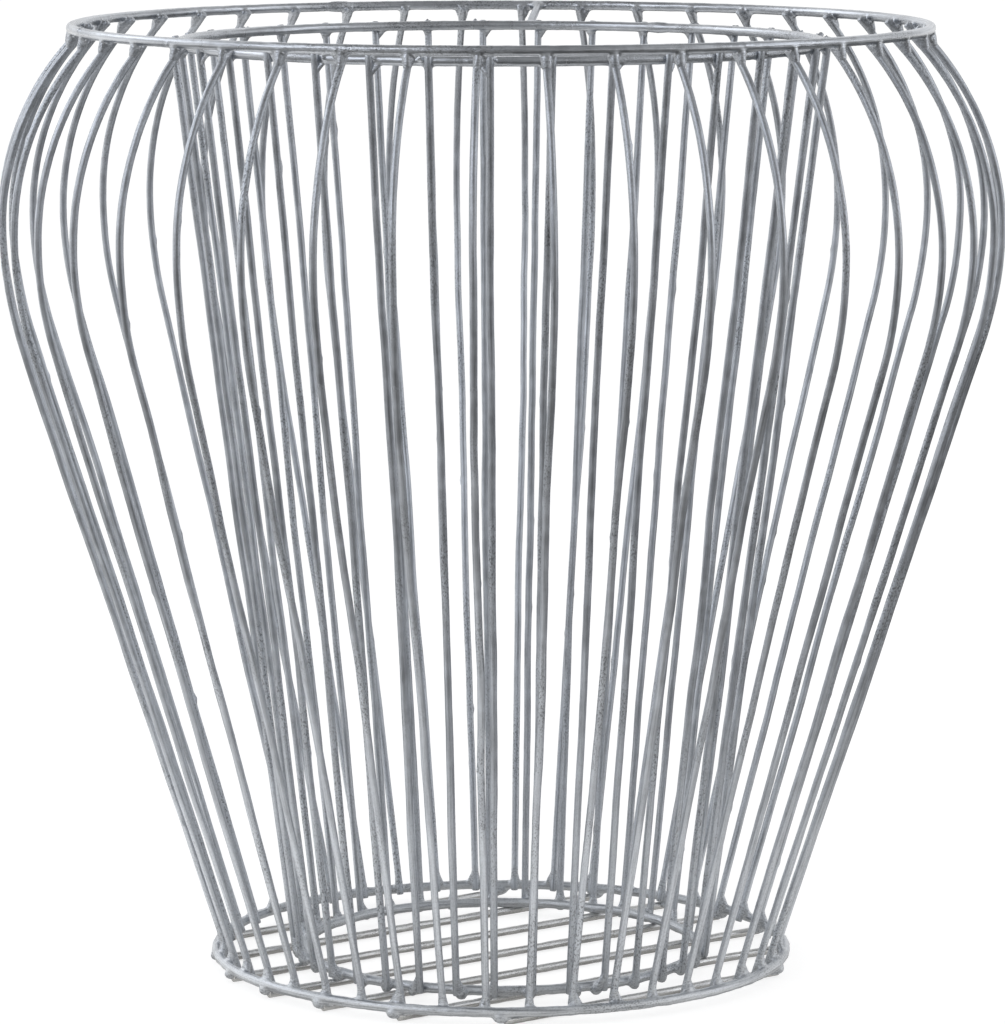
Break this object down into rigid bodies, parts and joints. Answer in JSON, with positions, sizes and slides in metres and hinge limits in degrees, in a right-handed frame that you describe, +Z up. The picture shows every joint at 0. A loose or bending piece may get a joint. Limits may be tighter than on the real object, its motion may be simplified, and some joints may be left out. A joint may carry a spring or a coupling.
{
  "type": "wire gabion planter",
  "caption": "Urn-shaped double-walled planter of welded galvanised wire: stones fill the space between the walls and a plant pot stands in the inner basket.",
  "frame": {"origin": "on the floor under the middle of the base, in the plane that the base bars stand on", "axes": "+Z up through the middle of the rims, -Y towards the front of the picture, +X to its right"},
  "size_m": [0.4118, 0.4114, 0.3911],
  "materials": {
    "galvanised_rings": "satin",
    "galvanised_uprights": "satin",
    "galvanised_bars": "satin"
  },
  "bodies": {
    "root": {"outer_rim": "galvanised_rings", "outer_base_ring": "galvanised_rings", "inner_base_ring": "galvanised_rings", "outer_wire_01": "galvanised_uprights", "outer_wire_02": "galvanised_uprights", "outer_wire_03": "galvanised_uprights", "outer_wire_04": "galvanised_uprights", "outer_wire_05": "galvanised_uprights", "outer_wire_06": "galvanised_uprights", "outer_wire_07": "galvanised_uprights", "outer_wire_08": "galvanised_uprights", "outer_wire_09": "galvanised_uprights", "outer_wire_10": "galvanised_uprights", "outer_wire_11": "galvanised_uprights", "outer_wire_12": "galvanised_uprights", "outer_wire_13": "galvanised_uprights", "outer_wire_14": "galvanised_uprights", "outer_wire_15": "galvanised_uprights", "outer_wire_16": "galvanised_uprights", "outer_wire_17": "galvanised_uprights", "outer_wire_18": "galvanised_uprights", "outer_wire_19": "galvanised_uprights", "outer_wire_20": "galvanised_uprights", "outer_wire_21": "galvanised_uprights", "outer_wire_22": "galvanised_uprights", "outer_wire_23": "galvanised_uprights", "outer_wire_24": "galvanised_uprights", "outer_wire_25": "galvanised_uprights", "outer_wire_26": "galvanised_uprights", "outer_wire_27": "galvanised_uprights", "outer_wire_28": "galvanised_uprights", "outer_wire_29": "galvanised_uprights", "outer_wire_30": "galvanised_uprights", "outer_wire_31": "galvanised_uprights", "outer_wire_32": "galvanised_uprights", "outer_wire_33": "galvanised_uprights", "outer_wire_34": "galvanised_uprights", "outer_wire_35": "galvanised_uprights", "outer_wire_36": "galvanised_uprights", "outer_wire_37": "galvanised_uprights", "outer_wire_38": "galvanised_uprights", "outer_wire_39": "galvanised_uprights", "outer_wire_40": "galvanised_uprights", "outer_wire_41": "galvanised_uprights", "outer_wire_42": "galvanised_uprights", "inner_rim_with_wires": "galvanised_uprights", "base_bar_1": "galvanised_bars", "base_bar_2": "galvanised_bars", "base_bar_3": "galvanised_bars", "base_bar_4": "galvanised_bars", "base_bar_5": "galvanised_bars", "base_bar_6": "galvanised_bars", "base_bar_7": "galvanised_bars", "rim_tie": "galvanised_bars"}
  },
  "joints": []
}
